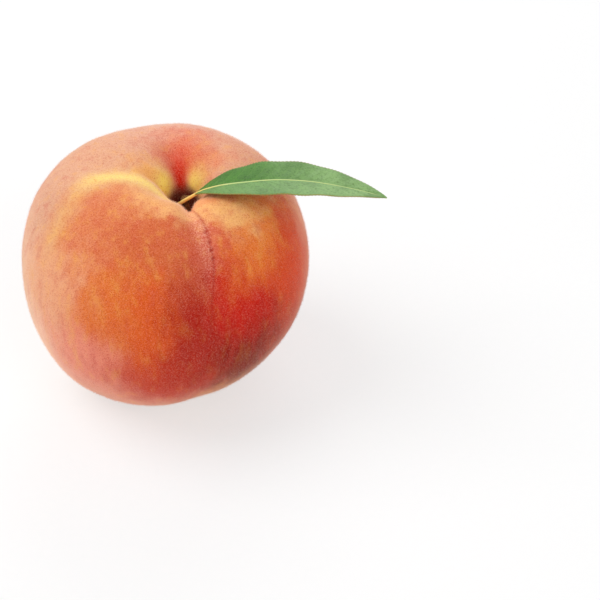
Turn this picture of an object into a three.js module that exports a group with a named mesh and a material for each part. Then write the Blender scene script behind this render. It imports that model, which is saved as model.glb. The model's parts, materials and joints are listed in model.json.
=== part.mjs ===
// A whole peach as picked: the fruit, the woody stub of its stem in the cavity on top, and one leaf still
// growing from the stub. Millimetres, +Z up. The origin is in the small flat spot that it rests on, where the
// skin is pressed most. +X is the side that the leaf reaches out to, and -Y is the front, with the suture.

import * as THREE from "three";

// ---- Driving dimensions -------------------------------------------------------------------------------

const FRUIT_RADIUS = 38.5; // at the equator
const FRUIT_HEIGHT = 69.4; // from the blossom end to the crest of the shoulder
const CAVITY_DEPTH = 15.5; // from the crest of the shoulder down to where the stem leaves the flesh
const CAVITY_FLOOR_RADIUS = 2.6;
const CAVITY_SIDEWAYS = 4.6; // how far the cavity sits towards +X of the fruit's middle
const CAVITY_BACKWARDS = 3; // how far it sits towards +Y of it
const BLOSSOM_SIDEWAYS = -6.5; // how far the blossom end sits towards +X of it
const LEAN_RIGHT = 5; // degrees that the fruit's axis leans towards +X
const LEAN_FRONT = 3; // degrees that it leans towards -Y
const RESTING_FLAT = 0.6; // how far the skin is pressed flat under the fruit's own weight

const STEM_RADIUS = 1.5;
const STEM_LENGTH = 5;
const STEM_TILT = 4; // degrees that the stub tilts towards -X on the fruit's axis

const LEAF_HALF_WIDTH = 7;
const LEAF_THICKNESS = 0.5;
const LEAF_FOLD = 5; // degrees that each half of the blade rises from the midrib
const BLADE_START = 0.13; // where the blade begins along the petiole and midrib
const PETIOLE_RADIUS = 0.65;
const LEAF_EDGE = 0.15; // the least that the blade stands out beside the petiole and at the tip

const GAP = 0.35; // clearance between pieces that touch

const FRUIT_COLUMNS = 72; // faces round the fruit
const FRUIT_ROWS_PER_LEVEL = 3; // faces between two points of its profile
const STEM_COLUMNS = 16;
const LEAF_ROWS = 30;
const LEAF_COLUMNS = 8;
const MIDRIB_SHARE = 2 / LEAF_COLUMNS; // of the columns, those that make the petiole and midrib

const RAD = Math.PI / 180;
const smooth = (x) => THREE.MathUtils.smoothstep(x, 0, 1);
const bell = (x) => Math.exp(-x * x);
const angleBetween = (a, b) => THREE.MathUtils.euclideanModulo(a - b + 180, 360) - 180;

// ---- The fruit ----------------------------------------------------------------------------------------

// Half of a cut along the axis, as [radius, height], from the cavity's floor over the shoulder and down to
// the dimple of the blossom end.
const profile = new THREE.SplineCurve(
  [
    [0, FRUIT_HEIGHT - CAVITY_DEPTH],
    [CAVITY_FLOOR_RADIUS, FRUIT_HEIGHT - CAVITY_DEPTH + 0.1],
    [4.3, FRUIT_HEIGHT - 12.4],
    [6.6, FRUIT_HEIGHT - 6.8],
    [10.8, FRUIT_HEIGHT - 2],
    [18, FRUIT_HEIGHT],
    [27.8, FRUIT_HEIGHT - 3.2],
    [35, FRUIT_HEIGHT - 13.2],
    [FRUIT_RADIUS, FRUIT_HEIGHT - 28],
    [36.8, 26.5],
    [29.8, 13],
    [19.2, 4.2],
    [9.6, 0.7],
    [4.6, 0.5],
    [2.4, 1.6],
    [0, 2.3],
  ].map(([radius, height]) => new THREE.Vector2(radius, height)),
);

// The level of a point of the skin counts the profile's points: 0 on the cavity's floor, LAST at the dimple.
const LAST = profile.points.length - 1;
const RIM = 4;
const EQUATOR = 8;

// Grooves that run out of the cavity. Each has its azimuth at the rim and half its width in degrees, its
// depth at the rim, on the equator and below it, over how many levels it gets shallower on its way out, and
// how far it turns sideways there.
const GROOVES = [
  { name: "suture", azimuth: -70, width: 10, rim: 3.2, equator: 0.9, below: 0.55, reach: 3.2, turn: 5 },
  { name: "left fold", azimuth: 176, width: 17, rim: 3, equator: 0, below: 0, reach: 3, turn: -14 },
  { name: "back valley", azimuth: 96, width: 17, rim: 3.4, equator: 0, below: 0, reach: 2, turn: 0 },
];

// Places where the flesh is fuller or flatter than the round profile: the azimuth and how far it spreads in
// degrees, the level and how many levels it spreads over, and how far it stands out.
const SWELLINGS = [
  { name: "left shoulder", azimuth: 160, spread: 42, level: 6.6, levels: 1.6, out: 0.9 },
  { name: "left flank", azimuth: 195, spread: 38, level: 9, levels: 1.3, out: -0.7 },
  { name: "lower left", azimuth: 205, spread: 50, level: 11.2, levels: 1.4, out: 1.2 },
  { name: "right shoulder", azimuth: 35, spread: 34, level: 6, levels: 1.5, out: -0.7 },
  { name: "back crest", azimuth: 118, spread: 32, level: 5.4, levels: 1.5, out: -1.1 },
];

// The front left cheek is the fullest: it stands higher beside the cavity and leans in over it.
const CHEEK = { azimuth: -128, spread: 52, levels: 2.4, up: 1.6, inwards: 0.2 };

// The fruit is wider along one diagonal than across it.
const WIDE_AZIMUTH = 30;
const WIDE = 0.03;

// 0 where a groove crosses the cavity's rim, 1 where it has become as shallow as it is on the equator.
const outwardStep = (groove, level) => smooth((level - RIM) / groove.reach);

function grooveDepth(groove, level) {
  if (level < RIM) return groove.rim * smooth((level - 1) / (RIM - 1));
  if (level < EQUATOR) return THREE.MathUtils.lerp(groove.rim, groove.equator, outwardStep(groove, level));
  const down = (level - EQUATOR) / (LAST - EQUATOR);
  const fading = 1 - smooth(down * 2.5 - 1.3);
  return THREE.MathUtils.lerp(groove.equator, groove.below, smooth(down * 2)) * fading;
}

// How far a point of the skin lies inside the round profile.
function sunkenDepth(level, azimuth) {
  let sunk = 0;
  for (const groove of GROOVES) {
    const middle = groove.azimuth + groove.turn * outwardStep(groove, level);
    sunk += grooveDepth(groove, level) * bell(angleBetween(azimuth, middle) / groove.width);
  }
  for (const swelling of SWELLINGS) {
    const across = bell(angleBetween(azimuth, swelling.azimuth) / swelling.spread);
    sunk -= swelling.out * across * bell((level - swelling.level) / swelling.levels);
  }
  const awayFromEnds = smooth(level / 2) * smooth((LAST - level) / 2);
  return sunk * awayFromEnds;
}

// The fruit's axis is bent, so that its two ends stand to the side of its middle.
const towardsCavity = (level) => 1 - smooth((level - 1) / 5);
const towardsBlossom = (level) => Math.sin(Math.max(0, (level - EQUATOR) / (LAST - EQUATOR)) * 90 * RAD) ** 2;

// A point of the skin before the fruit is laid down, with the azimuth in degrees.
function skinPoint(level, azimuth) {
  const round = profile.getPoint(level / LAST);
  const along = profile.getTangent(level / LAST);
  const outwards = new THREE.Vector2(-along.y, along.x);
  const sunk = sunkenDepth(level, azimuth);

  const nearTop = bell((level - RIM) / CHEEK.levels) * smooth(level / 2);
  const cheek = bell(angleBetween(azimuth, CHEEK.azimuth) / CHEEK.spread) * nearTop;
  const wide = 1 + WIDE * Math.cos(2 * (azimuth - WIDE_AZIMUTH) * RAD) * smooth((level / LAST) * 3);

  const radius = (round.x * (1 - CHEEK.inwards * cheek) - outwards.x * sunk) * wide;
  const sideways = CAVITY_SIDEWAYS * towardsCavity(level) + BLOSSOM_SIDEWAYS * towardsBlossom(level);
  const backwards = CAVITY_BACKWARDS * towardsCavity(level);
  return new THREE.Vector3(
    radius * Math.cos(azimuth * RAD) + sideways,
    radius * Math.sin(azimuth * RAD) + backwards,
    round.y - outwards.y * sunk + CHEEK.up * cheek,
  );
}

// The fruit leans as it lies. Its lowest point comes to the origin, a little below z = 0, and the skin that
// would be below z = 0 is pressed flat.
const lying = (() => {
  const lean = new THREE.Matrix4()
    .makeRotationX(LEAN_FRONT * RAD)
    .multiply(new THREE.Matrix4().makeRotationY(LEAN_RIGHT * RAD));
  const underside = [];
  for (let level = EQUATOR + 2; level <= LAST; level += 0.05) {
    for (let azimuth = 0; azimuth < 360; azimuth += 3) {
      underside.push(skinPoint(level, azimuth).applyMatrix4(lean));
    }
  }
  const lowest = underside.reduce((low, point) => (point.z < low.z ? point : low));
  return new THREE.Matrix4()
    .makeTranslation(-lowest.x, -lowest.y, -lowest.z - RESTING_FLAT)
    .multiply(lean);
})();

function makeFruit() {
  const geometry = new THREE.SphereGeometry(1, FRUIT_COLUMNS, LAST * FRUIT_ROWS_PER_LEVEL);
  const position = geometry.getAttribute("position");
  const uv = geometry.getAttribute("uv");
  for (let i = 0; i < position.count; i++) {
    const azimuth = (uv.getX(i) % 1) * 360 + 180;
    const point = skinPoint((1 - uv.getY(i)) * LAST, azimuth).applyMatrix4(lying);
    position.setXYZ(i, point.x, point.y, Math.max(point.z, 0));
  }
  geometry.computeVertexNormals();
  return geometry;
}

// ---- The stem -----------------------------------------------------------------------------------------

// A short woody stub, thicker where it leaves the flesh and at the scar where it broke off.
const stemFoot = new THREE.Vector3(
  CAVITY_SIDEWAYS + 0.2,
  CAVITY_BACKWARDS + 0.3,
  FRUIT_HEIGHT - CAVITY_DEPTH + GAP + STEM_RADIUS * Math.sin(STEM_TILT * RAD),
);
const standing = lying
  .clone()
  .multiply(new THREE.Matrix4().makeTranslation(stemFoot))
  .multiply(new THREE.Matrix4().makeRotationY(-STEM_TILT * RAD));

function makeStem() {
  const section = [
    [0, 0],
    [STEM_RADIUS, 0],
    [STEM_RADIUS * 0.94, STEM_LENGTH * 0.2],
    [STEM_RADIUS * 0.82, STEM_LENGTH * 0.5],
    [STEM_RADIUS * 0.98, STEM_LENGTH * 0.78],
    [STEM_RADIUS * 0.86, STEM_LENGTH * 0.95],
    [0, STEM_LENGTH],
  ].map(([radius, height]) => new THREE.Vector2(radius, height));
  return new THREE.LatheGeometry(section, STEM_COLUMNS).rotateX(90 * RAD).applyMatrix4(standing);
}

// ---- The leaf -----------------------------------------------------------------------------------------

// The petiole and the midrib are one curve, given from the stem's foot: out of the cavity beside the stub,
// over the right shoulder and down to the tip.
const midrib = new THREE.CatmullRomCurve3(
  [
    [-2.4, -1.7, 3.4],
    [1.1, -4.7, 9],
    [6.8, -7.6, 13.5],
    [15.7, -8.9, 16.1],
    [28.5, -7.9, 16.1],
    [44.3, -7.3, 12.9],
    [53.2, -7.1, 9.9],
  ].map(([x, y, z]) => new THREE.Vector3(x, y, z).add(stemFoot.clone().applyMatrix4(lying))),
);

// The frame of the leaf at a point of its midrib: sideways is level, towards the front, and up is off the
// blade.
function leafFrame(t) {
  const along = midrib.getTangentAt(t);
  const sideways = new THREE.Vector3().crossVectors(along, new THREE.Vector3(0, 0, 1)).normalize();
  const up = new THREE.Vector3().crossVectors(sideways, along);
  return { point: midrib.getPointAt(t), sideways, up };
}

// A lance-shaped blade, widest just before its middle, measured from the edge of the midrib.
function bladeWidth(t) {
  const u = THREE.MathUtils.clamp((t - BLADE_START) / (1 - BLADE_START), 0, 1);
  return Math.max(LEAF_HALF_WIDTH * Math.sin(Math.PI * u ** 0.94) ** 0.85, LEAF_EDGE);
}

// A box bent along the midrib: its middle columns are the petiole and midrib, which stand out below, and the
// others are the two halves of the blade, folded up.
function makeLeaf() {
  const geometry = new THREE.BoxGeometry(1, 2, LEAF_THICKNESS, LEAF_ROWS, LEAF_COLUMNS, 1);
  const position = geometry.getAttribute("position");
  for (let i = 0; i < position.count; i++) {
    const t = position.getX(i) + 0.5;
    const side = Math.abs(position.getY(i));
    const onMidrib = Math.min(side / MIDRIB_SHARE, 1);
    const onBlade = Math.max(side - MIDRIB_SHARE, 0) / (1 - MIDRIB_SHARE);
    const radius = PETIOLE_RADIUS * (1 - 0.65 * t);
    const across = onMidrib * radius + onBlade * bladeWidth(t);
    const below = position.getZ(i) < 0 ? (1 - onMidrib) * radius * 1.3 : 0;

    const { point, sideways, up } = leafFrame(t);
    point.addScaledVector(sideways, -Math.sign(position.getY(i)) * across * Math.cos(LEAF_FOLD * RAD));
    point.addScaledVector(up, position.getZ(i) - below + across * Math.sin(LEAF_FOLD * RAD));
    position.setXYZ(i, point.x, point.y, point.z);
  }
  geometry.computeVertexNormals();
  return geometry;
}

// ---- The assembly -------------------------------------------------------------------------------------

function piece(name, geometry, color, roughness) {
  const mesh = new THREE.Mesh(geometry, new THREE.MeshStandardMaterial({ color, roughness, metalness: 0 }));
  mesh.name = name;
  return mesh;
}

const peach = new THREE.Group();
peach.add(piece("fruit", makeFruit(), 0xe0703c, 0.75));
peach.add(piece("stem", makeStem(), 0x6f4526, 0.9));
peach.add(piece("leaf", makeLeaf(), 0x4c8240, 0.5));

export default peach;
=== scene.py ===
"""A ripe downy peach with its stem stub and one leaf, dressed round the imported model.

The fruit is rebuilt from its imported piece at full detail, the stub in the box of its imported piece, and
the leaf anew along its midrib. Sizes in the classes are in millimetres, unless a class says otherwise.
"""

import json
import logging
import math
from collections.abc import Callable, Iterable, Sequence
from dataclasses import dataclass, field
from enum import Enum

import bmesh
import bpy
import numpy as np
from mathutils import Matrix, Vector

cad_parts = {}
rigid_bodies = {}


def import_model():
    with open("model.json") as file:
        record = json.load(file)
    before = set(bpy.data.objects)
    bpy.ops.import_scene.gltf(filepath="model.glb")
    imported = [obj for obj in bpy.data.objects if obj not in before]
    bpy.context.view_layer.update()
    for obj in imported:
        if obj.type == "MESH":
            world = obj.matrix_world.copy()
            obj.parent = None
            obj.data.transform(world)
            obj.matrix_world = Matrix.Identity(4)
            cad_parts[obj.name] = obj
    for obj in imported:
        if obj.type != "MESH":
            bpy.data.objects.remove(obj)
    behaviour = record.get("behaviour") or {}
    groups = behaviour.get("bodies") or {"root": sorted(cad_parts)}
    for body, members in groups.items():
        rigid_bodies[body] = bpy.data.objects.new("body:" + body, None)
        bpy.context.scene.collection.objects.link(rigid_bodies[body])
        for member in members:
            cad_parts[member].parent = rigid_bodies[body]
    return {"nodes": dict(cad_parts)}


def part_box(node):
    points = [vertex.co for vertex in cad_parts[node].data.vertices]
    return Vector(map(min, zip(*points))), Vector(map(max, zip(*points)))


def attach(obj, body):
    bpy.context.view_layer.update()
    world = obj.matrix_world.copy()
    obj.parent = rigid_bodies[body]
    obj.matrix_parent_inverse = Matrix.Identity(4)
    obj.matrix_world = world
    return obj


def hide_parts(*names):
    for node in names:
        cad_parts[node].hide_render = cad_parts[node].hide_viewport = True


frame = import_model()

LOG = logging.getLogger("peach")
MM = 0.001
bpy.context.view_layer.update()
MERGE_WITHIN = 0.002 * MM
RING_WITHIN = 0.02 * MM
QUAD_ANGLE = math.radians(60)
LEAST_WEIGHT = 0.001
BLADE_MAP = "sheet"

Piece = bpy.types.Object
Point = tuple[float, float, float]
Colour = tuple[int, int, int]
Fade = tuple[float, float, float]
Socket = bpy.types.NodeSocket
Value = Socket | float | tuple[float, ...]
Inputs = dict[str | int, Value]


# ---- Tools ----


def linear(colour: Colour) -> tuple[float, float, float, float]:
    """Turns a colour as it is seen into the values that a shader takes.

    Args:
        colour: red, green and blue, each from 0 to 255.

    Returns:
        The scene-linear colour with a full alpha.
    """
    seen = [part / 255 for part in colour]
    return (*(s / 12.92 if s <= 0.04045 else ((s + 0.055) / 1.055) ** 2.4 for s in seen), 1.0)


def bell(distance: np.ndarray | float) -> np.ndarray | float:
    """Returns 1 at a distance of 0, and near 0 beyond a distance of 2."""
    return np.exp(-np.square(distance))


def near(places: np.ndarray, middle: Point, reach: float | Point) -> np.ndarray:
    """Returns 1 for a place at the middle, and near 0 for one that is over twice the reach away."""
    return bell(np.linalg.norm((places - np.array(middle)) / np.array(reach), axis=1))


def unit(rows: np.ndarray) -> np.ndarray:
    """Returns each row scaled to a length of 1."""
    return rows / np.linalg.norm(rows, axis=1, keepdims=True)


def step(value: np.ndarray | float, start: float, end: float) -> np.ndarray | float:
    """Returns a smooth step from 0 to 1 as the value goes from the start to the end."""
    held = np.clip((value - start) / (end - start), 0, 1)
    return held * held * (3 - 2 * held)


def faded(share: np.ndarray | float, fades: Iterable[Fade]) -> np.ndarray | float:
    """Works out what is left of a strength of 1 along a line.

    Args:
        share: how far along the line, from 0 to 1.
        fades: where each fade starts, where it is complete, and the share that it takes away.

    Returns:
        What is left, from 0 to 1.
    """
    left = 1.0
    for start, end, taken in fades:
        left = left * (1 - taken * step(share, start, end))
    return left


def select_only(piece: Piece) -> None:
    """Makes one object the only selected one and the active one.

    Args:
        piece: the object.
    """
    bpy.ops.object.select_all(action="DESELECT")
    piece.select_set(True)
    bpy.context.view_layer.objects.active = piece


def positions(piece: Piece) -> np.ndarray:
    """Reads where the vertices of a piece are.

    Args:
        piece: the piece.

    Returns:
        The vertices' places in millimetres, one row each.
    """
    places = np.empty(len(piece.data.vertices) * 3)
    piece.data.vertices.foreach_get("co", places)
    return places.reshape(-1, 3) / MM


def select_vertices(piece: Piece, chosen: Callable[[bmesh.types.BMVert], bool]) -> None:
    """In edit mode, selects the vertices that a test picks, and what they span.

    Args:
        piece: the piece in edit mode.
        chosen: says of a vertex whether it is selected.
    """
    bpy.ops.mesh.select_all(action="DESELECT")
    mesh = bmesh.from_edit_mesh(piece.data)
    for vertex in mesh.verts:
        if chosen(vertex):
            vertex.select_set(True)
    mesh.select_flush(True)
    bmesh.update_edit_mesh(piece.data)


def select_ring(piece: Piece, axis: int, height: float) -> None:
    """In edit mode, selects the ring of vertices at one height, in metres, along an axis."""
    select_vertices(piece, lambda vertex: abs(vertex.co[axis] - height) < RING_WITHIN)


def settle(piece: Piece, name: str) -> None:
    """Names a new piece and moves its place, its turn and its size into its mesh."""
    piece.name = piece.data.name = name
    bpy.ops.object.transform_apply(location=True, rotation=True, scale=True)


def clouds(name: str, size: float, layers: int) -> bpy.types.Texture:
    """Makes a cloudy texture for reliefs.

    Args:
        name: the texture's name.
        size: how large its clouds are, in millimetres.
        layers: how many finer layers it has.

    Returns:
        The texture.
    """
    texture = bpy.data.textures.new(name, "CLOUDS")
    texture.noise_scale = size * MM
    texture.noise_depth = layers
    return texture


def add_modifier(piece: Piece, kind: str, **settings: object) -> None:
    """Adds one modifier to a piece, sets it up and applies it.

    Args:
        piece: the piece that it shapes.
        kind: the modifier's type.
        settings: its settings by name.
    """
    select_only(piece)
    bpy.ops.object.modifier_add(type=kind)
    modifier = piece.modifiers[-1]
    for name, value in settings.items():
        setattr(modifier, name, value)
    bpy.ops.object.modifier_apply(modifier=modifier.name)


def push(piece: Piece, name: str, weights: np.ndarray, height: float, **settings: object) -> None:
    """Raises or sinks part of a piece's surface along its normals, or as the settings say.

    Args:
        piece: the piece.
        name: what the relief is, for its vertex group.
        weights: the share of the height for each vertex, from 0 to 1.
        height: how far the surface goes out, in millimetres; in if negative.
        settings: further settings of the Displace modifier by name.
    """
    group = piece.vertex_groups.new(name=name)
    for index in np.flatnonzero(weights > LEAST_WEIGHT):
        group.add([int(index)], float(weights[index]), "REPLACE")
    own = {"strength": height * MM, "mid_level": 0, "vertex_group": name}
    add_modifier(piece, "DISPLACE", **{**own, **settings})
    piece.vertex_groups.remove(piece.vertex_groups[name])


def mark(piece: Piece, name: str, values: np.ndarray) -> None:
    """Keeps one value for each vertex of a piece, which its finish reads by that name."""
    layer = piece.data.attributes.new(name, "FLOAT", "POINT")
    layer.data.foreach_set("value", np.asarray(values, np.float32))


def along_path(places: np.ndarray, path: np.ndarray) -> tuple[np.ndarray, np.ndarray]:
    """Measures points against a line drawn through some places.

    Args:
        places: the points, one row each, in millimetres.
        path: the line's points, one row each.

    Returns:
        The distance of each point from the line, and how far along the line its nearest place is, from 0
        to 1.
    """
    spans = np.diff(path, axis=0)
    lengths = np.linalg.norm(spans, axis=1)
    starts = np.concatenate([[0], np.cumsum(lengths)])
    nearest = np.full(len(places), np.inf)
    share = np.zeros(len(places))
    for corner, span, length, start in zip(path, spans, lengths, starts):
        on_span = np.clip((places - corner) @ span / length**2, 0, 1)
        distance = np.linalg.norm(places - corner - on_span[:, None] * span, axis=1)
        closer = distance < nearest
        nearest = np.where(closer, distance, nearest)
        share = np.where(closer, (start + on_span * length) / starts[-1], share)
    return nearest, share


def through(places: Sequence[Point], parts: int = 6) -> np.ndarray:
    """Draws a smooth line through some places.

    Args:
        places: the places, in millimetres.
        parts: how many straight parts each stretch between two places has.

    Returns:
        The line's points, one row each.
    """
    corners = np.array([places[0], *places, places[-1]], float)
    points = []
    for before, start, end, after in zip(corners, corners[1:], corners[2:], corners[3:]):
        for share in np.arange(parts) / parts:
            straight = 2 * start + (end - before) * share
            turn = (2 * before - 5 * start + 4 * end - after) * share**2
            twist = (3 * start - before - 3 * end + after) * share**3
            points.append((straight + turn + twist) / 2)
    return np.array([*points, corners[-1]])


def on_skin(piece: Piece, places: Sequence[Point]) -> np.ndarray:
    """Lays places on a piece's surface, each at the nearest point of it.

    Args:
        piece: the piece.
        places: the places near its surface, in millimetres.

    Returns:
        The places on the surface, one row each.
    """
    bpy.context.view_layer.update()
    return np.array([piece.closest_point_on_mesh(Vector(place) * MM)[1] for place in places]) / MM


def copy_of_node(node: str, name: str) -> Piece:
    """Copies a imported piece, so that the copy can be shaped further.

    Args:
        node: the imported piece's name.
        name: the copy's name.

    Returns:
        The copy, with its corners merged and its triangles joined to quads.
    """
    select_only(frame["nodes"][node])
    bpy.ops.object.duplicate()
    piece = bpy.context.object
    bpy.ops.object.parent_clear(type="CLEAR_KEEP_TRANSFORM")
    for key in list(piece.keys()):
        del piece[key]
    piece.name = piece.data.name = name
    piece.data.materials.clear()
    bpy.ops.object.mode_set(mode="EDIT")
    bpy.ops.mesh.select_all(action="SELECT")
    bpy.ops.mesh.remove_doubles(threshold=MERGE_WITHIN)
    bpy.ops.mesh.tris_convert_to_quads(face_threshold=QUAD_ANGLE, shape_threshold=QUAD_ANGLE)
    bpy.ops.object.mode_set(mode="OBJECT")
    return piece


def finish_piece(piece: Piece, node: str, materials: Iterable[bpy.types.Material]) -> None:
    """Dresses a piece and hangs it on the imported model.

    Args:
        piece: the piece, at its place in the frame.
        node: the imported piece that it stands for.
        materials: its materials, in slot order.
    """
    for material in materials:
        piece.data.materials.append(material)
    select_only(piece)
    bpy.ops.object.shade_smooth()
    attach(piece, "root")
    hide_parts(node)
    LOG.info("%s: %d faces", piece.name, len(piece.data.polygons))


class Recipe:
    """Writes the nodes of one material or of the surroundings, each after those that feed it."""

    def __init__(self, owner: bpy.types.Material | bpy.types.World) -> None:
        """Starts the nodes afresh.

        Args:
            owner: the material or the world that they belong to.
        """
        self.owner = owner
        self.owner.use_nodes = True
        self.tree = self.owner.node_tree
        self.tree.nodes.clear()

    def add(self, kind: str, inputs: Inputs | None = None, **settings: object) -> bpy.types.Node:
        """Adds a node.

        Args:
            kind: its type, without the word ShaderNode.
            inputs: what each of its sockets takes, by name or number: a value, or another node's socket.
            settings: its own settings by name.

        Returns:
            The node.
        """
        node = self.tree.nodes.new(f"ShaderNode{kind}")
        for name, value in settings.items():
            setattr(node, name, value)
        for socket, value in (inputs or {}).items():
            if isinstance(value, bpy.types.NodeSocket):
                self.tree.links.new(value, node.inputs[socket])
            else:
                node.inputs[socket].default_value = value
        return node

    def math(self, operation: str, first: Value, second: Value = 0.0, third: Value = 0.0) -> Socket:
        """Adds one sum of up to three numbers and returns its result."""
        inputs = {0: first, 1: second, 2: third}
        return self.add("Math", inputs, operation=operation).outputs[0]

    def vector(self, operation: str, first: Value, second: Value, third: Value = (0, 0, 0)) -> Socket:
        """Adds one sum of up to three vectors and returns its result, a number for a dot product."""
        node = self.add("VectorMath", {0: first, 1: second, 2: third}, operation=operation)
        return node.outputs["Value" if operation == "DOT_PRODUCT" else "Vector"]

    def place(self) -> Socket:
        """Adds the piece's own coordinates and returns them."""
        return self.add("TexCoord").outputs["Object"]

    def shifted(self, where: Socket, pattern: Socket, reach: float) -> Socket:
        """Adds coordinates that a pattern pushes about.

        Args:
            where: the coordinates.
            pattern: a coloured pattern, even grey where nothing moves.
            reach: how far the pattern's extremes push, in millimetres.

        Returns:
            The shifted coordinates.
        """
        centred = self.vector("SUBTRACT", pattern, (0.5, 0.5, 0.5))
        return self.vector("MULTIPLY_ADD", centred, (reach * 2 * MM,) * 3, where)

    def noise(self, where: Socket, size: float, detail: float, rough: float, output: str = "Fac") -> Socket:
        """Adds a cloudy pattern.

        Args:
            where: the coordinates that it is read at.
            size: how large its clouds are, in millimetres.
            detail: how many finer layers it has.
            rough: how strong the finer layers are.
            output: Fac for one pattern, from 0 to 1, or Color for three at once.

        Returns:
            The pattern's socket.
        """
        inputs = {"Vector": where, "Scale": 1 / (size * MM), "Detail": detail, "Roughness": rough}
        return self.add("TexNoise", inputs).outputs[output]

    def fit(self, value: Socket, low: float, high: float, to_low: float = 0, to_high: float = 1) -> Socket:
        """Adds a smooth change of one range to another.

        Args:
            value: the number that is changed.
            low: where the change starts.
            high: where it ends.
            to_low: what comes out at or before the start.
            to_high: what comes out at or past the end.

        Returns:
            The socket with the result.
        """
        inputs = {0: value, 1: low, 2: high, 3: to_low, 4: to_high}
        return self.add("MapRange", inputs, interpolation_type="SMOOTHSTEP").outputs[0]

    def blend(self, share: Value, under: Value, over: Value, way: str = "MIX") -> Socket:
        """Adds one colour laid over another and returns the result."""
        inputs = {0: share, 6: under, 7: over}
        return self.add("Mix", inputs, data_type="RGBA", blend_type=way).outputs[2]

    def squeezed(self, where: Socket, scale: Point) -> Socket:
        """Adds coordinates that are stretched or squeezed along each axis and returns them."""
        return self.add("Mapping", {"Vector": where, "Scale": scale}).outputs[0]

    def mark(self, name: str) -> Socket:
        """Adds the values that a piece keeps by that name and returns them."""
        return self.add("Attribute", attribute_name=name).outputs["Fac"]

    def bumped(self, height: Socket, strength: float, depth: float) -> Socket:
        """Adds a fine relief, as deep as given in millimetres, and returns the normals that show it."""
        return self.add("Bump", {"Height": height, "Strength": strength, "Distance": depth * MM}).outputs[0]

    def seen_directly(self) -> Socket:
        """Tells the light that the camera sees from the light that falls on the object.

        Returns:
            1 where the surface is seen or mirrored, and 0 where it only lights the object.
        """
        rays = self.add("LightPath")
        seen = self.math("MAXIMUM", rays.outputs["Is Camera Ray"], rays.outputs["Is Glossy Ray"])
        return self.math("MAXIMUM", seen, rays.outputs["Is Transmission Ray"])

    def finish(self, kind: str, inputs: Inputs) -> bpy.types.Material:
        """Adds the shader, joins it to the material's output and returns the material."""
        self.add("OutputMaterial", {"Surface": self.add(kind, inputs).outputs[0]})
        return self.owner


# ---- Finishes ----


@dataclass(frozen=True)
class Tint:
    """One colour laid on the skin, where it is strongest and how far it spreads."""

    name: str
    centre: Point
    reach: Point
    colour: Colour


@dataclass(frozen=True)
class Patch:
    """A colour laid on the skin where the fruit is marked with that name, and how strong it is there."""

    name: str
    colour: Colour
    strength: float


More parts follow.
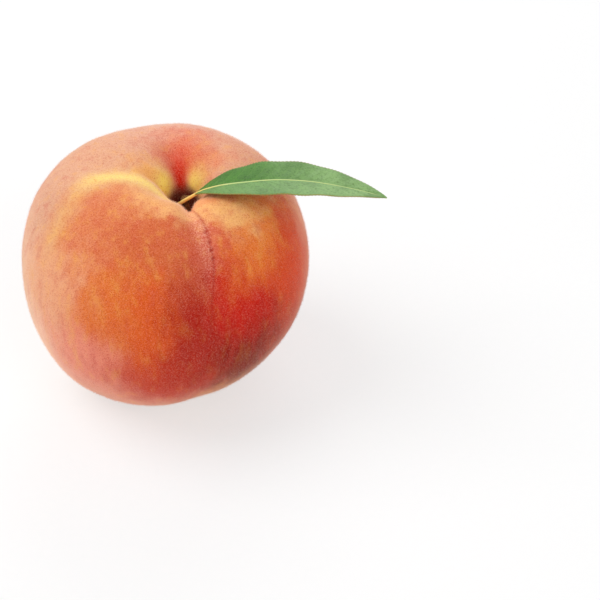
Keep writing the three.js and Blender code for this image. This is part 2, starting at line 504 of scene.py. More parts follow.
@dataclass(frozen=True)
class SkinFinish:
    """Downy peach skin: gold and orange with a crimson blush, flecked, under a pale velvet of hairs; some
    tints and patches also paint sheen, light and shade onto it.
    """

    ground: Colour = (225, 140, 80)
    gold: Colour = (240, 175, 80)
    rose: Colour = (205, 75, 60)
    down: Colour = (250, 210, 180)
    velvet: Colour = (240, 200, 180)
    sheen_colour: Colour = (255, 230, 208)
    ground_share: float = 0.02
    roughness: float = 0.62
    sheen: float = 0.7
    sheen_roughness: float = 0.3
    gloss: float = 0.05
    cloud_size: float = 17
    wander: float = 6
    flame_size: float = 3.6
    flames: float = 7
    flame_length: float = 0.32
    fleck_size: float = 2.6
    fleck_strength: float = 0.34
    grain_size: float = 0.36
    pale_grain: float = 0.14
    dark_grain: float = 0.5
    patches: tuple[Patch, ...] = (
        Patch("streak", (255, 228, 130), 0.95),
        # The bumps' pale gold is partly their yellow and partly painted light, lifting them where they lie
        # in the hollow's shade.
        Patch("bump", (255, 255, 100), 1),
        Patch("valley", (215, 32, 0), 0.95),
        Patch("crease", (170, 30, 25), 0.8),
        # The hollow's dark brown is painted shade, deep in the hollow round the stub.
        Patch("hollow", (115, 50, 35), 1),
    )
    tints: tuple[Tint, ...] = (
        Tint("blossom end", (-8, 3, 0), (22, 22, 14), (225, 165, 90)),
        Tint("back blush", (12, 38, 38), (26, 16, 26), (205, 85, 50)),
        Tint("back gold", (-26, 28, 34), (18, 18, 24), (230, 158, 106)),
        Tint("left rose", (-36, 12, 46), (8, 9, 16), (225, 140, 105)),
        Tint("right back", (34, 20, 40), (16, 20, 26), (215, 90, 50)),
        # top, crown and top left: partly the skin's pale colour, partly painted sheen, the whitening of the
        # down where light grazes the top.
        Tint("top", (0, 22, 72), (22, 16, 14), (232, 178, 150)),
        Tint("crown", (2, 31, 63), (24, 8, 9), (240, 222, 210)),
        Tint("back shoulder", (6, 36, 52), (22, 8, 9), (222, 140, 105)),
        Tint("top left", (-20, 8, 68), (14, 12, 12), (228, 175, 142)),
        Tint("valley top", (6, 17, 67), (7, 6, 6), (224, 85, 8)),
        Tint("behind the fold", (-5, 5, 65), (6, 4, 5), (244, 168, 70)),
        Tint("right of the valley", (12, 11, 66), (6, 5, 5), (228, 102, 15)),
        Tint("top right", (20, 10, 68), (12, 10, 12), (228, 178, 145)),
        # left edge: painted sheen, the down's pale rim where the skin turns from the camera, over the skin's
        # own pale colour.
        Tint("left edge", (-37, -10, 44), (7, 12, 18), (240, 195, 162)),
        Tint("left middle", (-38, 2, 42), (6, 8, 13), (234, 168, 134)),
        Tint("lower left back", (-34, 5, 24), (9, 9, 12), (235, 172, 132)),
        Tint("left cheek", (-27, -21, 48), (8, 10, 14), (235, 166, 124)),
        Tint("left shoulder", (-28, -6, 63), (7, 9, 7), (220, 168, 138)),
        Tint("left crest", (-17, -16, 67), (11, 9, 8), (222, 125, 80)),
        Tint("near crest", (1, -12, 70), (8, 5, 6), (245, 185, 120)),
        Tint("crest rose", (0, -25, 64), (11, 7, 8), (212, 105, 60)),
        Tint("front gold", (-12, -31, 52), (7, 7, 10), (226, 118, 52)),
        Tint("front orange", (-2, -36, 45), (7, 8, 12), (224, 92, 30)),
        Tint("lower left", (-22, -26, 26), (11, 12, 12), (241, 145, 122)),
        # lower left edge: painted sheen of the down at the rim, over the skin's own pale colour.
        Tint("lower left edge", (-33, -12, 26), (10, 12, 14), (245, 205, 178)),
        Tint("underside", (-14, -24, 12), (14, 14, 9), (240, 165, 142)),
        Tint("lower front", (0, -34, 24), (11, 10, 12), (195, 45, 25)),
        Tint("left of the seam", (10, -33, 42), (6, 8, 14), (172, 18, 10)),
        Tint("seam shoulder", (12, -24, 62), (6, 6, 7), (215, 95, 70)),
        Tint("right of the seam", (23, -28, 46), (9, 9, 12), (206, 8, 0)),
        # low right: partly the maroon blush, partly painted shade where the lower right turns from the
        # light.
        Tint("low right", (24, -27, 29), (11, 11, 10), (120, 5, 0)),
        Tint("low right edge", (36, -12, 26), (6, 9, 10), (185, 45, 25)),
        Tint("low right back", (30, 6, 14), (14, 16, 14), (195, 95, 60)),
        Tint("right flank", (27, -19, 58), (7, 7, 7), (240, 130, 50)),
        Tint("right edge", (37, -8, 48), (7, 10, 12), (220, 60, 0)),
        # right rim: painted sheen of the down along the right rim, over its orange.
        Tint("right rim", (38, 6, 54), (3, 7, 9), (238, 160, 125)),
        # right shoulder: partly its pale gold, partly painted light that lifts the leaf's shadow on it.
        Tint("right shoulder", (21, -13, 66), (8, 5, 5), (250, 195, 125)),
        # under the leaf: painted shade, the orange-red of the leaf's shadow on the skin, laid where the real
        # shadow falls too.
        Tint("under the leaf", (25, -7, 67), (9, 4, 5), (240, 120, 45)),
    )

    def material(self) -> bpy.types.Material:
        """Writes the skin's nodes, which read the marks that the fruit keeps.

        Returns:
            The material.
        """
        nodes = Recipe(bpy.data.materials.new("peach_skin"))
        place = nodes.place()
        tall = nodes.squeezed(place, (1, 1, self.flame_length))
        flecks = nodes.noise(tall, self.fleck_size, detail=4, rough=0.6)
        grain = nodes.noise(place, self.grain_size, detail=3, rough=0.75)

        drift = nodes.noise(place, self.cloud_size, detail=2, rough=0.5, output="Color")
        spread = nodes.shifted(place, drift, self.wander)
        flicker = nodes.noise(tall, self.flame_size, detail=4, rough=0.5, output="Color")
        spread = nodes.shifted(spread, flicker, self.flames)
        colour = self.tinted(nodes, spread)

        # Gold flecks are fainter where the skin is crimson.
        green = nodes.add("SeparateXYZ", {0: colour}).outputs[1]
        golden = nodes.fit(flecks, 0.5, 0.72, to_high=self.fleck_strength)
        golden = nodes.math("MULTIPLY", golden, nodes.fit(green, 0.01, 0.16, to_low=0.3))
        rosy = nodes.fit(flecks, 0.5, 0.28, to_high=self.fleck_strength)
        colour = nodes.blend(golden, colour, linear(self.gold))
        colour = nodes.blend(rosy, colour, linear(self.rose))

        velvet = nodes.fit(grain, 0.45, 0.7, to_low=0.1, to_high=0.6)
        velvet = nodes.math("MULTIPLY", nodes.mark("velvet"), velvet)
        colour = nodes.blend(velvet, colour, linear(self.velvet))
        for patch in self.patches:
            amount = nodes.math("MULTIPLY", nodes.mark(patch.name), patch.strength)
            colour = nodes.blend(amount, colour, linear(patch.colour))
        pale = nodes.fit(grain, 0.5, 0.66, to_high=self.pale_grain)
        dark = nodes.fit(grain, 0.5, 0.34, to_high=self.dark_grain)
        colour = nodes.blend(pale, colour, linear(self.down))
        colour = nodes.blend(dark, colour, linear(self.rose), way="MULTIPLY")
        return nodes.finish("BsdfPrincipled", {
            "Base Color": colour,
            "Roughness": self.roughness,
            "Specular IOR Level": self.gloss,
            "Sheen Weight": self.sheen,
            "Sheen Roughness": self.sheen_roughness,
            "Sheen Tint": linear(self.sheen_colour),
            "Normal": nodes.bumped(grain, strength=0.3, depth=0.1),
        })

    def tinted(self, nodes: Recipe, where: Socket) -> Socket:
        """Blends the tints, each by how near it is.

        Args:
            nodes: the recipe being written.
            where: the coordinates, already warped so that the colours run into each other in flames.

        Returns:
            The blended colour.
        """
        total: Value = self.ground_share
        colour: Value = tuple(part * self.ground_share for part in linear(self.ground)[:3])
        for tint in self.tints:
            shrink = tuple(1 / (reach * MM) for reach in tint.reach)
            shift = tuple(-c / r for c, r in zip(tint.centre, tint.reach))
            local = nodes.vector("MULTIPLY_ADD", where, shrink, shift)
            square = nodes.vector("DOT_PRODUCT", local, local)
            weight = nodes.math("POWER", math.exp(-1), square)
            weight.node.label = tint.name
            total = nodes.math("ADD", total, weight)
            colour = nodes.vector("MULTIPLY_ADD", linear(tint.colour)[:3], weight, colour)
        return nodes.vector("DIVIDE", colour, total)


@dataclass(frozen=True)
class BarkFinish:
    """The woody stub: brown bark, darker in its cracks."""

    light: Colour = (146, 98, 52)
    dark: Colour = (58, 32, 16)
    roughness: float = 0.85
    fibre_size: float = 0.5
    crack_depth: float = 0.2

    def material(self) -> bpy.types.Material:
        """Writes the bark's nodes.

        Returns:
            The material.
        """
        nodes = Recipe(bpy.data.materials.new("stub_bark"))
        tall = nodes.squeezed(nodes.place(), (1, 1, 0.3))
        fibres = nodes.noise(tall, self.fibre_size, detail=4, rough=0.65)
        colour = nodes.blend(nodes.fit(fibres, 0.35, 0.65), linear(self.dark), linear(self.light))
        return nodes.finish("BsdfPrincipled", {
            "Base Color": colour,
            "Roughness": self.roughness,
            "Normal": nodes.bumped(fibres, strength=0.8, depth=self.crack_depth),
        })


@dataclass(frozen=True)
class BladeFinish:
    """One face of the leaf's blade, with its veins and its pale edge."""

    name: str
    base: Colour
    tip: Colour
    vein: Colour
    edge: Colour
    vein_depth: float
    roughness: float
    gloss: float = 0.35
    side_veins: int = 17
    vein_lean: float = 0.13
    vein_bow: float = 0.3
    vein_strength: float = 0.3
    cloud_size: float = 6
    speck_size: float = 0.6
    web_size: float = 0.8

    def material(self) -> bpy.types.Material:
        """Writes the blade's nodes, which follow its own map from petiole to tip and edge to edge.

        Returns:
            The material.
        """
        nodes = Recipe(bpy.data.materials.new(self.name))
        sheet = nodes.add("UVMap", uv_map=BLADE_MAP).outputs[0]
        parts = nodes.add("SeparateXYZ", {0: sheet})
        along, across = parts.outputs[0], parts.outputs[1]
        off_middle = nodes.math("ABSOLUTE", nodes.math("MULTIPLY_ADD", across, 2, -1))
        place = nodes.place()

        # The blade pales towards its tip, and its near half is painted paler with a painted reflection of
        # the bright surroundings; soft clouds and small specks lie over it.
        clouded = nodes.noise(place, self.cloud_size, detail=3, rough=0.5)
        clouded = nodes.fit(clouded, 0.35, 0.7, to_high=0.35)
        speckled = nodes.noise(place, self.speck_size, detail=3, rough=0.7)
        speckled = nodes.fit(speckled, 0.45, 0.7, to_high=0.5)
        colour = nodes.blend(nodes.fit(along, 0.25, 0.8), linear(self.base), linear(self.tip))
        # Painted reflection: the near half is paler.
        colour = nodes.blend(nodes.fit(across, 0.5, 0.44, to_high=0.45), colour, linear(self.tip))
        colour = nodes.blend(clouded, colour, linear(self.base), way="MULTIPLY")
        colour = nodes.blend(speckled, colour, linear(self.base), way="MULTIPLY")

        lines = self.veins(nodes, along, off_middle, place)
        rim = nodes.fit(off_middle, 0.96, 1, to_high=0.7)
        colour = nodes.blend(nodes.math("MULTIPLY", lines, self.vein_strength), colour, linear(self.vein))
        colour = nodes.blend(rim, colour, linear(self.edge))
        return nodes.finish("BsdfPrincipled", {
            "Base Color": colour,
            "Roughness": self.roughness,
            "Specular IOR Level": self.gloss,
            "Normal": nodes.bumped(lines, strength=0.5, depth=self.vein_depth),
        })

    def veins(self, nodes: Recipe, along: Socket, off_middle: Socket, place: Socket) -> Socket:
        """Draws the bowed side veins and the fine web between them.

        Args:
            nodes: the recipe being written.
            along: the share of the blade's length.
            off_middle: the share of the way from the midrib to the edge.
            place: the blade's own coordinates.

        Returns:
            How strongly each spot is a vein, from 0 to 1.
        """
        bow = nodes.math("MULTIPLY", self.vein_bow, nodes.math("POWER", off_middle, 2))
        lean = nodes.math("MULTIPLY", nodes.math("SUBTRACT", off_middle, bow), self.vein_lean)
        counted = nodes.math("MULTIPLY", nodes.math("SUBTRACT", along, lean), self.side_veins)
        from_vein = nodes.math("ABSOLUTE", nodes.math("SUBTRACT", nodes.math("FRACT", counted), 0.5))
        cells = {"Vector": place, "Scale": 1 / (self.web_size * MM)}
        web = nodes.add("TexVoronoi", cells, feature="DISTANCE_TO_EDGE").outputs["Distance"]
        side_vein = nodes.fit(from_vein, 0, 0.07, to_low=0.9, to_high=0)
        return nodes.math("MAXIMUM", side_vein, nodes.fit(web, 0, 0.14, to_low=0.4, to_high=0))


@dataclass(frozen=True)
class StalkFinish:
    """The petiole and midrib: golden at the foot, pale green along the blade."""

    # The foot's gold is partly its own colour and partly painted light, lifting the petiole where it lies in
    # the hollow's shade.
    foot: Colour = (245, 215, 125)
    rib: Colour = (185, 210, 135)
    roughness: float = 0.5
    greens_from: float = 9
    greens_to: float = 22
    fibre_size: float = 0.4
    fibre_depth: float = 0.05

    def material(self) -> bpy.types.Material:
        """Writes the stalk's nodes.

        Returns:
            The material.
        """
        nodes = Recipe(bpy.data.materials.new("leaf_stalk"))
        place = nodes.place()
        outwards = nodes.add("SeparateXYZ", {0: place}).outputs[0]
        greening = nodes.fit(outwards, self.greens_from * MM, self.greens_to * MM)
        fibres = nodes.noise(nodes.squeezed(place, (0.2, 1, 1)), self.fibre_size, detail=3, rough=0.6)
        colour = nodes.blend(greening, linear(self.foot), linear(self.rib))
        colour = nodes.blend(nodes.fit(fibres, 0.3, 0.7, to_high=0.2), colour, linear(self.foot))
        return nodes.finish("BsdfPrincipled", {
            "Base Color": colour,
            "Roughness": self.roughness,
            "Normal": nodes.bumped(fibres, strength=0.3, depth=self.fibre_depth),
        })


# ---- The fruit ----


@dataclass
class Fruit:
    """The whole fruit, finished all round: its skin with the seam, the folds and the hollow for the stub."""

    crease: tuple[Point, ...] = (
        (8.5, -5, 60), (9.5, -10, 64), (12, -15, 65.5), (14, -20, 64), (15.5, -25, 59), (15, -30, 50),
        (14, -32.5, 38), (11, -31, 25), (8, -27, 15),
    )
    crease_depth: float = 0.12
    crease_width: float = 0.4
    crease_cuts: int = 3
    crease_cut_reach: float = 2.6
    crease_fades: tuple[Fade, ...] = ((0.06, 0, 1), (0.75, 1, 1))
    crease_tint: float = 0.6
    crease_tint_fades: tuple[Fade, ...] = ((0.16, 0, 0.6), (0.25, 0.55, 0.45), (0.75, 1, 1))
    pits: tuple[Point, ...] = ((13.5, -19, 64.5), (14.5, -21.5, 63), (15, -23, 61.5), (15.5, -24.5, 60))
    pit_depth: float = 0.35
    pit_width: float = 0.6
    velvet_offset: Point = (-1.4, 0, 0)
    velvet_width: float = 2.2
    velvet_fades: tuple[Fade, ...] = ((0.13, 0.05, 1), (0.25, 0.5, 1))
    dip: Point = (2.5, -6, 67)
    dip_reach: Point = (5.5, 4, 6)
    dip_depth: float = 1.7
    fold: tuple[Point, ...] = ((0, 4, 60), (-4, 2.5, 64), (-10, 2, 67), (-16, 1, 69), (-22, 0, 69))
    fold_fill: float = 3.6
    fold_reach: float = 4.6
    fold_fades: tuple[Fade, ...] = ((0.1, -0.2, 1), (0.15, 0.75, 1))
    streak: tuple[Point, ...] = (
        (3, -4, 65), (0.5, -2.5, 65.5), (-3, -2, 67), (-7, -2, 68.5), (-12, -2.5, 69.5), (-17, -5, 70),
        (-22, -11, 68), (-28, -18, 60), (-31, -21, 50),
    )
    streak_width: float = 3.4
    streak_fades: tuple[Fade, ...] = ((0.3, 0.55, 0.75), (0.7, 1, 1))
    valley: tuple[Point, ...] = ((5, 9.5, 57), (5, 12, 63), (6, 16, 68), (6, 20, 70))
    valley_width: float = 2.2
    valley_spread: float = 5
    valley_fades: tuple[Fade, ...] = ((0.2, 0.9, 0.85),)
    bumps: tuple[Point, Point] = ((0.1, 5.6, 60.9), (9.7, 7.4, 60.3))
    bump_reach: Point = (3, 3, 4)
    bump_height: float = 1.3
    # The left bump takes more gold: painted light, as it lies deeper in the hollow's shade.
    bump_gold_and_light: tuple[float, float] = (1, 0.65)
    hollow: Point = (6, 5, 53)
    hollow_reach: Point = (8, 8, 9.5)
    hollow_rim: tuple[float, float] = (0.5, 0.9)
    undulation: float = 0.5
    undulation_size: float = 13
    undulation_heights: tuple[float, float] = (1, 9)
    smoothing: int = 2
    finish: SkinFinish = field(default_factory=SkinFinish)

    def build(self) -> Piece:
        """Shapes and dresses the fruit.

        Returns:
            The finished skin.
        """
        piece = copy_of_node("fruit", "fruit_skin")
        add_modifier(piece, "SUBSURF", levels=self.smoothing, render_levels=self.smoothing)
        self.undulate(piece)
        self.fill_fold(piece)
        self.raise_bumps(piece)
        self.lower_rim(piece)
        self.refine_crease(piece)
        self.press_crease(piece)
        self.mark_colours(piece)
        finish_piece(piece, "fruit", [self.finish.material()])
        return piece

    def undulate(self, piece: Piece) -> None:
        """Gives the flesh its faint unevenness, fading out towards the flat spot that it rests on.

        Args:
            piece: the fruit.
        """
        unevenness = clouds("undulation", self.undulation_size, layers=1)
        above = step(positions(piece)[:, 2], *self.undulation_heights)
        push(
            piece, "above", above, self.undulation,
            texture=unevenness, texture_coords="LOCAL", mid_level=0.5,
        )

    def fill_fold(self, piece: Piece) -> None:
        """Makes the left fold shallower on its way out of the hollow."""
        fullness = self.band(piece, self.fold, self.fold_reach, self.fold_fades)
        push(piece, "fold", fullness, self.fold_fill, direction="Z")

    def raise_bumps(self, piece: Piece) -> None:
        """Raises the two round bumps of flesh that stand on each side of the back valley."""
        push(piece, "bumps", self.near_bumps(positions(piece)), self.bump_height)

    def lower_rim(self, piece: Piece) -> None:
        """Lowers the near rim of the hollow, where the left fold runs into it."""
        lowered = near(positions(piece), self.dip, self.dip_reach)
        push(piece, "dip", lowered, -self.dip_depth, direction="Z")

    def near_bumps(self, places: np.ndarray, shares: tuple[float, float] = (1, 1)) -> np.ndarray:
        """Returns how far each place is on one of the two bumps, from 0 to that bump's share."""
        first, second = (near(places, bump, self.bump_reach) for bump in self.bumps)
        return np.maximum(shares[0] * first, shares[1] * second)

    def band(
        self, piece: Piece, path: Sequence[Point], width: float, fades: Iterable[Fade],
        spread: float = 0, offset: Point = (0, 0, 0),
    ) -> np.ndarray:
        """Works out how far each vertex is in a soft band along a line on the skin.

        Args:
            piece: the fruit.
            path: the line's places, in millimetres.
            width: how wide the band is on each side at its start.
            fades: how its strength changes along the line.
            spread: how much wider it is at its end.
            offset: how far the band lies off the line.

        Returns:
            One value for each vertex, from 0 to 1.
        """
        line = on_skin(piece, through(path)) + np.array(offset)
        distance, share = along_path(positions(piece), line)
        return bell(distance / (width + spread * share)) * faded(share, fades)

    def refine_crease(self, piece: Piece) -> None:
        """Gives the skin finer faces near the seam's crease.

        Args:
            piece: the fruit.
        """
        line = on_skin(piece, through(self.crease))
        chosen = along_path(positions(piece), line)[0] < self.crease_cut_reach
        select_only(piece)
        bpy.ops.object.mode_set(mode="EDIT")
        bpy.ops.mesh.select_mode(type="VERT")
        select_vertices(piece, lambda vertex: chosen[vertex.index])
        bpy.ops.mesh.subdivide(number_cuts=self.crease_cuts)
        bpy.ops.object.mode_set(mode="OBJECT")

    def press_crease(self, piece: Piece) -> None:
        """Presses the seam's fine crease and its small pits into the skin.

        Args:
            piece: the fruit.
        """
        crease = self.band(piece, self.crease, self.crease_width, self.crease_fades)
        push(piece, "crease", crease, -self.crease_depth)
        for number, pit in enumerate(self.pits):
            push(piece, f"pit_{number}", near(positions(piece), pit, self.pit_width), -self.pit_depth)

    def mark_colours(self, piece: Piece) -> None:
        """Marks where the seam and the folds have colours of their own, where the bumps take painted light,
        and where the hollow is painted with shade.

        Args:
            piece: the fruit.
        """
        places = positions(piece)
        line = self.band(piece, self.crease, self.crease_width, self.crease_tint_fades)
        pits = [near(places, pit, self.pit_width) for pit in on_skin(piece, self.pits)]
        velvet = self.band(
            piece, self.crease, self.velvet_width, self.velvet_fades, offset=self.velvet_offset
        )
        streak = self.band(piece, self.streak, self.streak_width, self.streak_fades)
        valley = self.band(
            piece, self.valley, self.valley_width, self.valley_fades, spread=self.valley_spread
        )
        from_hollow = np.linalg.norm((places - self.hollow) / self.hollow_reach, axis=1)
        mark(piece, "crease", np.max([self.crease_tint * line, *pits], axis=0))
        mark(piece, "velvet", velvet)
        mark(piece, "streak", streak)
        mark(piece, "bump", self.near_bumps(places, self.bump_gold_and_light))
        mark(piece, "valley", valley)
        # Painted shade: the hollow darkens towards its depth; the down keeps off it too.
        mark(piece, "hollow", 1 - step(from_hollow, *self.hollow_rim))


@dataclass(frozen=True)
class DownFinish:
    """The hairs of the down: pale and dull, and partly the colour of the skin that shows through them."""

    hair: Colour = (255, 240, 225)
    paleness: float = 0.36
    roughness: float = 0.8
    skin: SkinFinish = SkinFinish()

    def material(self) -> bpy.types.Material:
        """Writes the down's nodes.

        Returns:
            The material.
        """
        nodes = Recipe(bpy.data.materials.new("peach_down"))
        colour = nodes.blend(self.paleness, self.skin.tinted(nodes, nodes.place()), linear(self.hair))
        return nodes.finish("BsdfPrincipled", {"Base Color": colour, "Roughness": self.roughness})


@dataclass
class Down:
    """The down of fine pale hairs all over the skin, but for its resting spot and the deep hollow."""

    hairs: int = 190_000
    length: float = 0.46
    thickness: float = 0.026
    lengths: tuple[float, float] = (0.5, 1.4)
    lean: float = 0.45
    lowest: float = 1.0
    seed: int = 7
    finish: DownFinish = field(default_factory=DownFinish)

    def build(self, skin: Piece) -> Piece:
        """Grows the hairs on the skin, each a slim blade with a point, and dresses them.

        Args:
            skin: the fruit's finished skin.

        Returns:
            The piece with all the hairs.
        """
        chance = np.random.default_rng(self.seed)
        feet, normals = self.sow(skin, chance)
        straying = chance.normal(size=feet.shape) * self.lean
        upwards = unit(normals + straying)
        sideways = unit(np.cross(upwards, chance.normal(size=feet.shape))) * self.thickness / 2
        tips = feet + upwards * self.length * chance.uniform(*self.lengths, (len(feet), 1))
        corners = np.stack([feet - sideways, feet + sideways, tips], axis=1).reshape(-1, 3) * MM
        mesh = bpy.data.meshes.new("fruit_down")
        mesh.from_pydata(corners.tolist(), [], np.arange(len(corners)).reshape(-1, 3).tolist())
        piece = bpy.data.objects.new("fruit_down", mesh)
        bpy.context.collection.objects.link(piece)
        finish_piece(piece, "fruit", [self.finish.material()])
        return piece

    def sow(self, skin: Piece, chance: np.random.Generator) -> tuple[np.ndarray, np.ndarray]:
        """Scatters the feet of the hairs evenly over the skin.

        Args:
            skin: the fruit's finished skin.
            chance: the seeded source of chance.

        Returns:
            The feet, in millimetres, and the skin's normal at each.
        """
        mesh = skin.data
        mesh.calc_loop_triangles()
        faces = np.empty(len(mesh.loop_triangles) * 3, int)
        mesh.loop_triangles.foreach_get("vertices", faces)
        first, second, third = positions(skin)[faces.reshape(-1, 3)].transpose(1, 0, 2)
        across = np.cross(second - first, third - first)
        bare = np.empty(len(mesh.vertices))
        mesh.attributes["hollow"].data.foreach_get("value", bare)
        share = (first[:, 2] > self.lowest) * (1 - bare[faces[::3]])
        area = np.linalg.norm(across, axis=1) * share
        picked = chance.choice(len(area), self.hairs, p=area / area.sum())
        one, other = np.sort(chance.random((2, self.hairs, 1)), axis=0)
        feet = first[picked] * one + second[picked] * (other - one) + third[picked] * (1 - other)
        return feet, unit(across[picked])


# ---- The stub ----


@dataclass
class Stub:
    """The woody stub that the fruit hung from, knobbly and broken off short."""

    radius: float = 1.35
    sides: int = 28
    rings: int = 14
    insets: tuple[float, float] = (0.25, 0.45)
    inset_depth: float = 0.12
    waist: float = 0.16
    flare: float = 0.1
    knobble: float = 0.45
    knobble_size: float = 0.9
    finish: BarkFinish = field(default_factory=BarkFinish)

    def build(self) -> Piece:
        """Shapes and dresses the stub.

        Returns:
            The finished piece.
        """
        low, high = (Vector(corner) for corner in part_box("stem"))
        middle = (low + high) / 2
        bpy.ops.object.select_all(action="DESELECT")
        bpy.ops.mesh.primitive_cylinder_add(
            vertices=self.sides, radius=self.radius * MM, depth=(high - low).z, location=middle
        )
        piece = bpy.context.object
        settle(piece, "stem_stub")
        bpy.ops.object.mode_set(mode="EDIT")
        select_vertices(piece, lambda vertex: vertex.co.z > middle.z)
        for inset in self.insets:
            bpy.ops.mesh.inset(thickness=inset * MM, depth=-self.inset_depth * MM)
        self.shape_rings(piece, low, high)
        bpy.ops.object.mode_set(mode="OBJECT")
        bark = clouds("bark", self.knobble_size, layers=2)
        add_modifier(piece, "SUBSURF", levels=2, render_levels=2)
        add_modifier(
            piece, "DISPLACE",
            texture=bark, texture_coords="LOCAL", strength=self.knobble * MM, mid_level=0.5,
        )
        finish_piece(piece, "stem", [self.finish.material()])
        return piece

    def shape_rings(self, piece: Piece, low: Vector, high: Vector) -> None:
        """In edit mode, cuts the stub into rings and gives it a waist between two thicker ends.

        Args:
            piece: the stub.
            low: the lowest corner of the box that it fills.
            high: the highest corner.
        """
        for number in range(1, self.rings):
            share = number / self.rings
            middle = (low.x + high.x) / 2, (low.y + high.y) / 2, low.z + (high.z - low.z) * share
            bpy.ops.mesh.select_all(action="SELECT")
            bpy.ops.mesh.bisect(plane_co=middle, plane_no=(0, 0, 1))
            select_ring(piece, 2, middle[2])
            width = 1 - self.waist * math.sin(math.pi * share) + self.flare * share
            bpy.ops.transform.resize(value=(width, width, 1), center_override=middle)


# ---- The leaf ----


class Half(Enum):
    """The halves of the blade: how far along each is widest, and how slim its ends are, as powers."""

    NEAR = (0.95, 0.95)
    FAR = (0.93, 0.7)


@dataclass
class Midrib:
    """The line that the leaf follows, out of the hollow, over the right shoulder and down to its tip."""

    places: tuple[Point, ...] = (
        (4.4, 2.4, 56.7), (8, -0.6, 61.4), (13.6, -3.5, 66.6), (22.5, -4.8, 69.4), (35.3, -3.8, 69.4),
        (51.1, -3.2, 66.2), (60.0, -3.0, 63.2),
    )

    def draw(self) -> Piece:
        """Draws the line as a curve.

        Returns:
            The curve, which pieces that lie along +X are bent along.
        """
        bpy.ops.object.select_all(action="DESELECT")
        bpy.ops.curve.primitive_bezier_curve_add(location=(0, 0, 0))
        line = bpy.context.object
        line.data.dimensions = "3D"
        line.data.twist_mode = "Z_UP"
        line.data.resolution_u = 32
        spline = line.data.splines[0]
        spline.bezier_points.add(len(self.places) - len(spline.bezier_points))
        for bend, place in zip(spline.bezier_points, self.places):
            bend.co = Vector(place) * MM
            bend.handle_left_type = bend.handle_right_type = "AUTO"
        bpy.context.view_layer.update()
        return line

    def length(self) -> float:
        """Measures the line along its smooth curve.

        Returns:
            The length in millimetres.
        """
        line = self.draw()
        reach = line.data.splines[0].calc_length() / MM
        bpy.data.curves.remove(line.data)
        return reach

    def bend(self, piece: Piece) -> None:
        """Bends a piece along the line.

        Args:
            piece: the piece, which lies along +X from the origin.
        """
        line = self.draw()
        add_modifier(piece, "CURVE", object=line, deform_axis="POS_X")
        bpy.data.curves.remove(line.data)


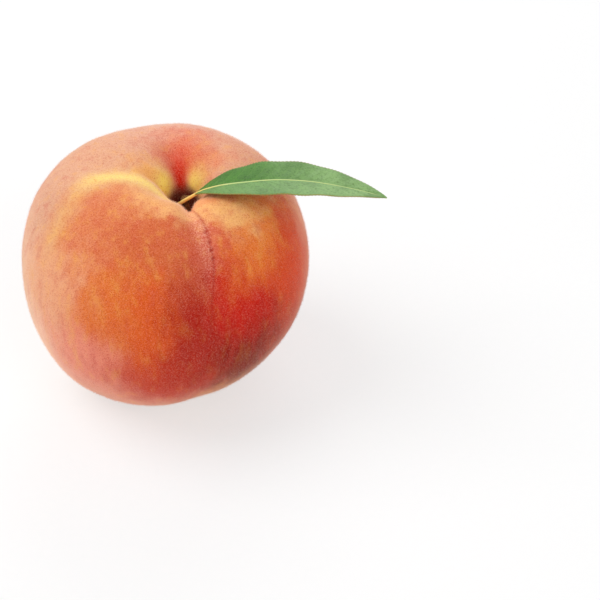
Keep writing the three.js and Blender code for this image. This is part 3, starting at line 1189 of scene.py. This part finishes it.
@dataclass
class Blade:
    """The lance-shaped blade: two halves folded up from the midrib, with a toothed, waving margin."""

    midrib: Midrib
    starts_at: float = 0.15
    half_width: float = 7.4
    least_width: float = 0.05
    thickness: float = 0.26
    stations: int = 300
    columns: int = 32
    teeth: int = 60
    tooth_depth: float = 0.3
    tooth_rise: float = 0.8
    tooth_fall: float = 1.5
    toothed_width: float = 2.4
    fold: float = 0.09
    wave: float = 0.35
    waves: float = 5.3
    pucker: float = 0.12
    pucker_width: float = 0.2
    pucker_fades: tuple[Fade, ...] = ((0.2, 0, 1), (0.75, 1, 1))
    upper: BladeFinish = BladeFinish(
        name="leaf_upper", base=(66, 122, 28), tip=(136, 174, 106), vein=(120, 165, 80),
        edge=(165, 140, 70), vein_depth=0.12, roughness=0.5,
    )
    under: BladeFinish = BladeFinish(
        name="leaf_under", base=(122, 158, 104), tip=(150, 184, 132), vein=(176, 198, 140),
        edge=(206, 190, 120), vein_depth=-0.12, roughness=0.6,
    )

    def build(self) -> Piece:
        """Shapes and dresses the blade.

        Returns:
            The finished piece.
        """
        piece = self.lay_out()
        self.shape_outline(piece)
        self.shape_relief(piece)
        materials = [self.upper.material(), self.under.material()]
        for material in materials:
            piece.data.materials.append(material)
        add_modifier(
            piece, "SOLIDIFY", thickness=self.thickness * MM, offset=0, use_rim=True, material_offset=1
        )
        piece.data.materials.clear()
        self.midrib.bend(piece)
        finish_piece(piece, "leaf", materials)
        return piece

    def lay_out(self) -> Piece:
        """Lays a flat grid along +X, one millimetre of width to each side.

        Returns:
            The flat piece.
        """
        reach = self.midrib.length()
        start = reach * self.starts_at
        bpy.ops.object.select_all(action="DESELECT")
        bpy.ops.mesh.primitive_grid_add(x_subdivisions=self.stations, y_subdivisions=self.columns, size=2)
        piece = bpy.context.object
        piece.data.uv_layers[0].name = BLADE_MAP
        piece.scale = ((reach - start) / 2 * MM, MM, 1)
        piece.location.x = (reach + start) / 2 * MM
        settle(piece, "leaf_blade")
        return piece

    def outline(self, share: np.ndarray, half: Half) -> np.ndarray:
        """Works out how wide one half is without its teeth.

        Args:
            share: the places along the blade, from 0 at its foot to 1 at its tip.
            half: which half.

        Returns:
            The widths in millimetres.
        """
        widest, slimness = half.value
        arch = np.sin(math.pi * np.clip(share, 0, 1) ** widest)
        return self.half_width * np.clip(arch, 0, 1) ** slimness

    def width(self, share: float, half: Half) -> float:
        """Says how wide one half of the blade is.

        Args:
            share: how far along the blade, from 0 at its foot to 1 at its tip.
            half: which half.

        Returns:
            The width in millimetres, teeth included.
        """
        plain = float(self.outline(np.array(share), half))
        phase = (share * self.teeth + (0.5 if half is Half.FAR else 0)) % 1
        tooth = (phase - 0.5) if phase < self.tooth_rise else (1 - phase) * self.tooth_fall
        depth = self.tooth_depth * min(1, plain / self.toothed_width)
        return max(plain + depth * tooth, self.least_width)

    def shape_outline(self, piece: Piece) -> None:
        """Widens each station of the grid to the blade's outline.

        Args:
            piece: the flat blade.
        """
        start = positions(piece)[:, 0].min() * MM
        reach = positions(piece)[:, 0].max() * MM - start
        select_only(piece)
        bpy.ops.object.mode_set(mode="EDIT")
        bpy.ops.mesh.select_mode(type="VERT")
        bpy.ops.mesh.select_all(action="DESELECT")
        mesh = bmesh.from_edit_mesh(piece.data)
        columns: dict[tuple[int, Half], list[bmesh.types.BMVert]] = {}
        for vertex in mesh.verts:
            if abs(vertex.co.y) > MERGE_WITHIN:
                half = Half.FAR if vertex.co.y > 0 else Half.NEAR
                station = round((vertex.co.x - start) / reach * self.stations)
                columns.setdefault((station, half), []).append(vertex)
        for (station, half), vertices in columns.items():
            for vertex in vertices:
                vertex.select_set(True)
            width = self.width(station / self.stations, half)
            bpy.ops.transform.resize(value=(1, width, 1), center_override=(vertices[0].co.x, 0, 0))
            for vertex in vertices:
                vertex.select_set(False)
        bpy.ops.object.mode_set(mode="OBJECT")

    def shape_relief(self, piece: Piece) -> None:
        """Folds the halves up, waves the margin and puckers the blade between its side veins.

        Args:
            piece: the flat blade, with its outline.
        """
        along, side = positions(piece)[:, :2].T
        share = (along - along.min()) / (along.max() - along.min())
        out = np.clip(np.abs(side) / self.half_width, 0, 1)
        push(piece, "fold", out, self.fold * self.half_width, direction="Z")
        waving = 0.5 + 0.5 * np.sin(2 * math.pi * (share * self.waves + 0.25 * np.sign(side)))
        push(piece, "wave", out**2 * waving, self.wave, direction="Z")

        widths = np.where(side > 0, self.outline(share, Half.FAR), self.outline(share, Half.NEAR))
        across = np.abs(side) / np.maximum(widths, self.pucker_width)
        bowed = across - self.upper.vein_bow * across**2
        counted = (share - self.upper.vein_lean * bowed) * self.upper.side_veins
        between = np.clip(np.abs(counted % 1 - 0.5) * 2, 0, 1)
        swell = np.sqrt(between) * faded(across, self.pucker_fades)
        push(piece, "pucker", swell, self.pucker, direction="Z")


@dataclass
class Stalk:
    """The petiole, and the midrib that it becomes: thick at the foot and thin at the tip."""

    midrib: Midrib
    radius: float = 0.52
    thinning_of_petiole: float = 0.42
    thinning_of_midrib: float = 0.24
    petiole: float = 0.3
    sides: int = 14
    stations: int = 90
    finish: StalkFinish = field(default_factory=StalkFinish)

    def build(self) -> Piece:
        """Shapes and dresses the stalk.

        Returns:
            The finished piece.
        """
        reach = self.midrib.length() * MM
        bpy.ops.object.select_all(action="DESELECT")
        bpy.ops.mesh.primitive_cylinder_add(
            vertices=self.sides, radius=self.radius * MM, depth=reach, location=(reach / 2, 0, 0),
            rotation=(0, math.radians(90), 0), end_fill_type="TRIFAN",
        )
        piece = bpy.context.object
        settle(piece, "leaf_stalk")
        bpy.ops.object.mode_set(mode="EDIT")
        for number in range(1, self.stations):
            bpy.ops.mesh.select_all(action="SELECT")
            bpy.ops.mesh.bisect(plane_co=(reach * number / self.stations, 0, 0), plane_no=(1, 0, 0))
        for number in range(self.stations + 1):
            along = reach * number / self.stations
            select_ring(piece, 0, along)
            thick = self.thickness_at(number / self.stations)
            bpy.ops.transform.resize(value=(1, thick, thick), center_override=(along, 0, 0))
        bpy.ops.object.mode_set(mode="OBJECT")
        self.midrib.bend(piece)
        finish_piece(piece, "leaf", [self.finish.material()])
        return piece

    def thickness_at(self, share: float) -> float:
        """Returns the share of the full radius that the stalk has at a share of its length."""
        thinned = self.thinning_of_petiole * step(share, 0, self.petiole)
        return 1 - thinned - self.thinning_of_midrib * step(share, self.petiole, 1)


# ---- The studio ----


@dataclass(frozen=True)
class Lamp:
    """One soft lamp: where it stands, in metres, how wide it is and how strong."""

    name: str
    place: Point
    size: float
    power: float


@dataclass
class Studio:
    """A plain pale floor, soft lamps and the camera.

    Places and distances are in metres. The lens, its sensor and the paper's tooth are in millimetres.
    """

    elevation: float = 40
    lens: float = 100
    sensor: float = 36
    distance: float = 0.458
    to_the_right: float = 0.0365
    downwards: float = 0.0083
    surroundings: float = 0.45
    floor_size: float = 6
    floor_glow: float = 0.6
    paper_tooth: float = 2
    paper_dark: Colour = (244, 244, 244)
    paper_light: Colour = (248, 248, 248)
    lit_height: float = 0.035
    lamps: tuple[Lamp, ...] = (
        Lamp("window", (-0.5, 0.0, 0.75), 0.7, 4.6),
        Lamp("back", (0.1, 0.75, 0.5), 0.7, 2.4),
        Lamp("fill", (0.5, -0.7, 0.55), 0.7, 2.8),
    )

    def build(self) -> None:
        """Sets up the floor, the lamps, the surroundings and the camera."""
        self.lay_floor()
        for lamp in self.lamps:
            self.hang(lamp)
        self.surround()
        self.place_camera()
        bpy.context.scene.view_settings.view_transform = "Standard"
        LOG.info("studio: %d lamps", len(self.lamps))

    def lay_floor(self) -> None:
        """Lays a wide pale floor that keeps a light shadow."""
        bpy.ops.mesh.primitive_plane_add(size=self.floor_size, location=(0, 0, 0))
        floor = bpy.context.object
        floor.name = "floor"
        nodes = Recipe(bpy.data.materials.new("floor_paper"))
        tooth = nodes.noise(nodes.place(), self.paper_tooth, detail=2, rough=0.5)
        paper = nodes.blend(tooth, linear(self.paper_dark), linear(self.paper_light))
        lit = nodes.add("BsdfDiffuse", {"Color": paper})
        glow = nodes.add("Emission", {"Color": (1, 1, 1, 1), "Strength": 1})
        share = nodes.math("MULTIPLY", nodes.seen_directly(), self.floor_glow)
        mixed = nodes.finish("MixShader", {0: share, 1: lit.outputs[0], 2: glow.outputs[0]})
        floor.data.materials.append(mixed)

    def hang(self, lamp: Lamp) -> None:
        """Hangs one lamp, turned to the fruit.

        Args:
            lamp: the lamp.
        """
        bpy.ops.object.light_add(type="AREA", location=lamp.place)
        light = bpy.context.object
        light.name = lamp.name
        light.data.shape = "DISK"
        light.data.size = lamp.size
        light.data.energy = lamp.power
        aim = Vector((0, 0, self.lit_height)) - Vector(lamp.place)
        light.rotation_euler = aim.to_track_quat("-Z", "Y").to_euler()

    def surround(self) -> None:
        """Surrounds the object with soft white light."""
        bpy.context.scene.world = bpy.data.worlds.new("surroundings")
        nodes = Recipe(bpy.context.scene.world)
        strength = nodes.fit(nodes.seen_directly(), 0, 1, to_low=self.surroundings)
        white = nodes.add("Background", {"Color": (1, 1, 1, 1), "Strength": strength})
        nodes.add("OutputWorld", {"Surface": white.outputs[0]})

    def place_camera(self) -> None:
        """Places the camera in front of the fruit and above it."""
        low, high = (Vector(corner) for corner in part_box("fruit"))
        lift = math.radians(self.elevation)
        back = Vector((0, -math.cos(lift), math.sin(lift)))
        right = Vector((1, 0, 0))
        up = back.cross(right)
        aim = (low + high) / 2 + right * self.to_the_right - up * self.downwards
        bpy.ops.object.camera_add(location=aim + back * self.distance)
        camera = bpy.context.object
        camera.rotation_euler = back.to_track_quat("Z", "Y").to_euler()
        camera.data.lens = self.lens
        camera.data.sensor_width = self.sensor
        camera.data.clip_start = 0.01
        bpy.context.scene.camera = camera


def main() -> None:
    logging.basicConfig(level=logging.INFO, format="%(name)s %(message)s")
    skin = Fruit().build()
    Down().build(skin)
    Stub().build()
    midrib = Midrib()
    Blade(midrib).build()
    Stalk(midrib).build()
    Studio().build()


if __name__ == "__main__":
    main()
